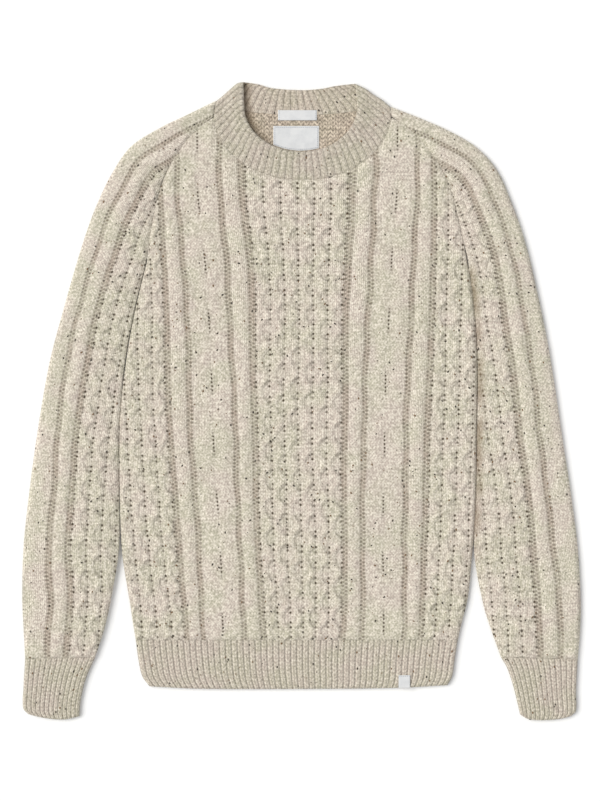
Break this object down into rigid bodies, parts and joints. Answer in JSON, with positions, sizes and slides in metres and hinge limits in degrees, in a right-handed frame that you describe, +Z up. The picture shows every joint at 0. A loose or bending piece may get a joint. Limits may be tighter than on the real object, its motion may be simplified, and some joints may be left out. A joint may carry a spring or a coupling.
{
  "type": "aran sweater",
  "caption": "Thick cream tweed wool sweater laid flat on its back, with honeycomb, ring and rope cables and a ribbed crew neck, cuffs and hem.",
  "frame": {"origin": "centre of the underside of the whole sweater, on the surface that it lies on", "axes": "+X towards its wearer's left arm, +Y from hem to neck, +Z up through the front"},
  "size_m": [0.6537, 0.7467, 0.0122],
  "materials": {
    "wool": "thick cream wool with darker tweed flecks, matt, knitted in raised cables",
    "rib": "the same flecked wool in a close rib, a little darker between the ribs",
    "tape": "bare white woven tape with a faint sheen"
  },
  "bodies": {
    "root": {"front_panel": "wool", "back_panel": "wool", "sleeve_right": "wool", "sleeve_left": "wool", "hem_band": "rib", "cuff_right": "rib", "cuff_left": "rib", "neckband": "rib", "neck_label": "tape", "small_label": "tape", "hem_tab": "tape"}
  },
  "joints": []
}
